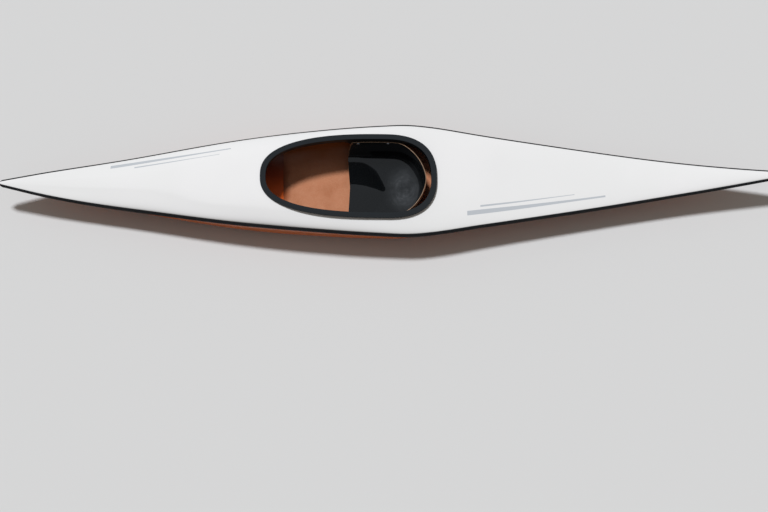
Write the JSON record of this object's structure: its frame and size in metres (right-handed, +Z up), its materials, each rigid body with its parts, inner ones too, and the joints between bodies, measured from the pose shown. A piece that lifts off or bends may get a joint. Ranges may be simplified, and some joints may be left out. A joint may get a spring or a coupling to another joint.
{
  "type": "kids kayak",
  "caption": "Slender children's racing kayak: white deck over an orange hull, black rubbing band, oval cockpit with a black bucket seat and a sliding footrest inside.",
  "frame": {"origin": "on the floor under the middle of the boat's length, on its centre plane", "axes": "+X from the bow to the stern, +Y to starboard, +Z up"},
  "size_m": [3.6, 0.5566, 0.227],
  "materials": {
    "hull_gelcoat": "gloss",
    "deck_gelcoat": "gloss",
    "rubbing_band": "gloss",
    "rim_gelcoat": "satin",
    "seat_gelcoat": "gloss",
    "laminate": "satin",
    "foam": "matte",
    "aluminium": "satin",
    "steel": "satin",
    "footrest_board": "matte"
  },
  "bodies": {
    "boat": {"hull": "hull_gelcoat", "deck": "deck_gelcoat", "rubbing_band_port": "rubbing_band", "rubbing_band_starboard": "rubbing_band", "seam_tape_port": "laminate", "seam_tape_starboard": "laminate", "floor_patch": "laminate", "rail_bed_port": "laminate", "rail_bed_starboard": "laminate", "cockpit_rim": "rim_gelcoat", "seat": "seat_gelcoat", "seat_bolt_port_front": "steel", "seat_bolt_port_rear": "steel", "seat_bolt_starboard_front": "steel", "seat_bolt_starboard_rear": "steel", "seat_washer_port_front": "steel", "seat_washer_port_rear": "steel", "seat_washer_starboard_front": "steel", "seat_washer_starboard_rear": "steel", "seat_nut_port_front": "steel", "seat_nut_port_rear": "steel", "seat_nut_starboard_front": "steel", "seat_nut_starboard_rear": "steel", "bow_buoyancy_block": "foam", "stern_buoyancy_block": "foam", "footrest_rail_port": "aluminium", "footrest_rail_starboard": "aluminium", "rail_screw_port_front": "steel", "rail_screw_port_rear": "steel", "rail_screw_starboard_front": "steel", "rail_screw_starboard_rear": "steel"},
    "footrest": {"footrest_board": "footrest_board", "footrest_bracket_port": "aluminium", "footrest_bracket_starboard": "aluminium", "footrest_rivet_port_lower": "steel", "footrest_rivet_port_upper": "steel", "footrest_rivet_starboard_lower": "steel", "footrest_rivet_starboard_upper": "steel", "clamp_bolt_port": "steel", "clamp_bolt_starboard": "steel", "clamp_washer_port": "steel", "clamp_washer_starboard": "steel"},
    "wing_nut_port": {"wing_nut_port": "steel"},
    "wing_nut_starboard": {"wing_nut_starboard": "steel"}
  },
  "joints": [
    {"name": "footrest_slide", "type": "slide", "parent": "boat", "child": "footrest", "axis": [0.9969, 0, -0.0781], "range_m": [-0.075, 0.12]},
    {"name": "wing_nut_port_turn", "type": "hinge", "parent": "footrest", "child": "wing_nut_port", "pos_m": [-0.79835, -0.065, 0.05169], "axis": [0.0781, 0, 0.9969], "continuous": true},
    {"name": "wing_nut_starboard_turn", "type": "hinge", "parent": "footrest", "child": "wing_nut_starboard", "pos_m": [-0.79835, 0.065, 0.05169], "axis": [0.0781, 0, 0.9969], "continuous": true}
  ]
}
